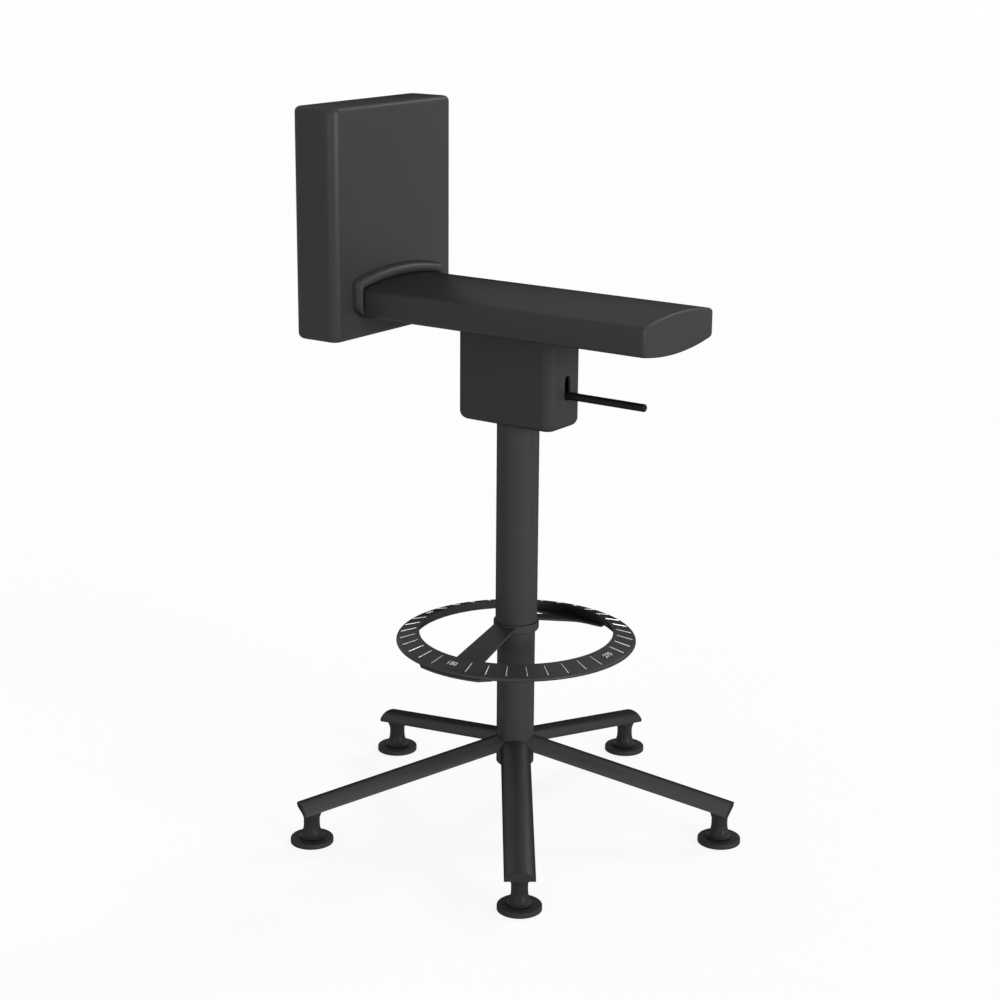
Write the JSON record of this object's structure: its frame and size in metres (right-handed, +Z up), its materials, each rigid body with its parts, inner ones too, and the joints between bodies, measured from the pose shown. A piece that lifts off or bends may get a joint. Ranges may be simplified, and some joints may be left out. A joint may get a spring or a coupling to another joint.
{
  "type": "swivel chair",
  "caption": "Swivel chair with a gas-spring column, a foot ring with raised ribs, a padded seat and a padded backrest, on glides.",
  "frame": {"origin": "point on the floor under the column's axis", "axes": "+Z up along the column, -Y the way the seated person faces, +X to that person's left; -Z points down at the floor"},
  "size_m": [0.5643, 0.5904, 0.9391],
  "materials": {
    "column_paint": "satin dark grey powder coat",
    "dark_paint": "satin dark grey powder coat",
    "ring_paint": "satin dark grey powder coat",
    "lever_paint": "satin black",
    "rib_metal": "polished ridges",
    "bright_steel": "polished",
    "plain_steel": "zinc plated",
    "black_steel": "semi-gloss black",
    "black_plastic": "matt black",
    "sole_plastic": "matt dark grey",
    "rubber": "matt black",
    "cover": "matt dark grey cover over foam"
  },
  "bodies": {
    "base": {"lower_column": "column_paint", "column_end_plug": "black_plastic", "bearing_plate": "plain_steel", "guide_bush": "black_plastic", "leg_1": "column_paint", "leg_2": "column_paint", "leg_3": "column_paint", "leg_4": "column_paint", "leg_5": "column_paint", "leg_plug_1": "black_plastic", "leg_plug_2": "black_plastic", "leg_plug_3": "black_plastic", "leg_plug_4": "black_plastic", "leg_plug_5": "black_plastic", "glide_socket_1": "dark_paint", "glide_socket_2": "dark_paint", "glide_socket_3": "dark_paint", "glide_socket_4": "dark_paint", "glide_socket_5": "dark_paint", "foot_ring": "ring_paint", "ring_ribs": "rib_metal", "ring_hub": "ring_paint", "ring_arm_left": "ring_paint", "ring_arm_right": "ring_paint", "ring_screws": "plain_steel", "ring_set_screws": "black_steel"},
    "glide_1": {"glide_bell_1": "dark_paint", "glide_sole_1": "sole_plastic"},
    "glide_2": {"glide_bell_2": "dark_paint", "glide_sole_2": "sole_plastic"},
    "glide_3": {"glide_bell_3": "dark_paint", "glide_sole_3": "sole_plastic"},
    "glide_4": {"glide_bell_4": "dark_paint", "glide_sole_4": "sole_plastic"},
    "glide_5": {"glide_bell_5": "dark_paint", "glide_sole_5": "sole_plastic"},
    "rod": {"piston_rod": "bright_steel", "piston": "black_plastic", "thrust_bearing": "plain_steel", "rod_clip": "plain_steel"},
    "seat_unit": {"pressure_tube": "black_steel", "rod_seal": "rubber", "taper_socket": "plain_steel", "upper_sleeve": "column_paint", "mechanism_housing": "column_paint", "lever_bracket": "plain_steel", "lever_pin": "plain_steel", "housing_screws": "plain_steel", "seat_plate": "dark_paint", "flat_bar": "dark_paint", "bar_screws": "plain_steel", "seat_pad": "cover", "backrest_pad": "cover"},
    "lever": {"height_lever": "lever_paint"},
    "valve": {"release_pin": "bright_steel"}
  },
  "joints": [
    {"name": "glide_1_turn", "type": "hinge", "parent": "base", "child": "glide_1", "pos_m": [0.281, 0, 0.02], "axis": [0, 0, 1], "continuous": true},
    {"name": "glide_2_turn", "type": "hinge", "parent": "base", "child": "glide_2", "pos_m": [0.08683, 0.26725, 0.02], "axis": [0, 0, 1], "continuous": true},
    {"name": "glide_3_turn", "type": "hinge", "parent": "base", "child": "glide_3", "pos_m": [-0.22733, 0.16517, 0.02], "axis": [0, 0, 1], "continuous": true},
    {"name": "glide_4_turn", "type": "hinge", "parent": "base", "child": "glide_4", "pos_m": [-0.22733, -0.16517, 0.02], "axis": [0, 0, 1], "continuous": true},
    {"name": "glide_5_turn", "type": "hinge", "parent": "base", "child": "glide_5", "pos_m": [0.08683, -0.26725, 0.02], "axis": [0, 0, 1], "continuous": true},
    {"name": "swivel", "type": "hinge", "parent": "base", "child": "rod", "pos_m": [0, 0, 0.3], "axis": [0, 0, 1], "continuous": true},
    {"name": "lift", "type": "slide", "parent": "rod", "child": "seat_unit", "axis": [0, 0, 1], "range_m": [0, 0.15]},
    {"name": "lever_lift", "type": "hinge", "parent": "seat_unit", "child": "lever", "pos_m": [0, -0.038, 0.5902], "axis": [-1, 0, 0], "range_deg": [0, 9], "stiffness_Nm_per_rad": 1, "springref_deg": -20.05},
    {"name": "valve_press", "type": "slide", "parent": "seat_unit", "child": "valve", "axis": [0, 0, -1], "range_m": [0, 0.0066], "stiffness_N_per_m": 400, "springref_m": -0.002}
  ],
  "couplings": [
    {"joint": "valve_press", "follows": "lever_lift", "m_per_rad": 0.041}
  ]
}
